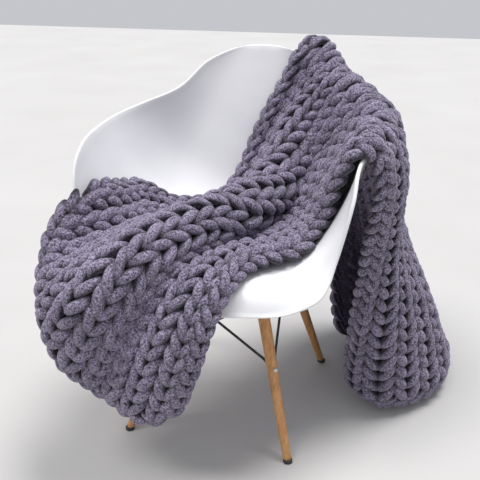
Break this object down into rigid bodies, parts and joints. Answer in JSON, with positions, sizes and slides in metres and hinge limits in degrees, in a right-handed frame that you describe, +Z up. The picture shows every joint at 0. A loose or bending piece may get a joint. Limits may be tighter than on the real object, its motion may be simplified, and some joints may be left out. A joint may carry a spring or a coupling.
{
  "type": "chunky knit blanket on a shell armchair",
  "caption": "Chunky hand-knit chenille blanket draped across the seat, arm and back of a moulded shell armchair with dowel legs, one end hanging in front, the other to the floor.",
  "frame": {"origin": "on the floor under the middle of the whole object's outline", "axes": "-Y is the way the seat faces, +X is to the right of someone facing the chair from the front, +Z is up"},
  "size_m": [0.8422, 0.839, 0.8519],
  "materials": {
    "chenille_yarn": "soft grey chenille pile with a faint violet cast",
    "shell_plastic": "white satin moulded plastic",
    "beech": "clear satin lacquer",
    "black_steel": "black powder coat",
    "bolt_steel": "plain",
    "glide_rubber": "matt"
  },
  "bodies": {
    "root": {"blanket": "chenille_yarn", "shell": "shell_plastic", "seat_frame": "black_steel", "leg_front_left": "beech", "glide_front_left": "glide_rubber", "bolt_front_left": "bolt_steel", "mount_front_left": "glide_rubber", "leg_front_right": "beech", "glide_front_right": "glide_rubber", "bolt_front_right": "bolt_steel", "mount_front_right": "glide_rubber", "leg_rear_left": "beech", "glide_rear_left": "glide_rubber", "bolt_rear_left": "bolt_steel", "mount_rear_left": "glide_rubber", "leg_rear_right": "beech", "glide_rear_right": "glide_rubber", "bolt_rear_right": "bolt_steel", "mount_rear_right": "glide_rubber", "brace_front_a": "black_steel", "brace_front_b": "black_steel", "brace_rear_a": "black_steel", "brace_rear_b": "black_steel", "brace_left_a": "black_steel", "brace_left_b": "black_steel", "brace_right_a": "black_steel", "brace_right_b": "black_steel"}
  },
  "joints": []
}
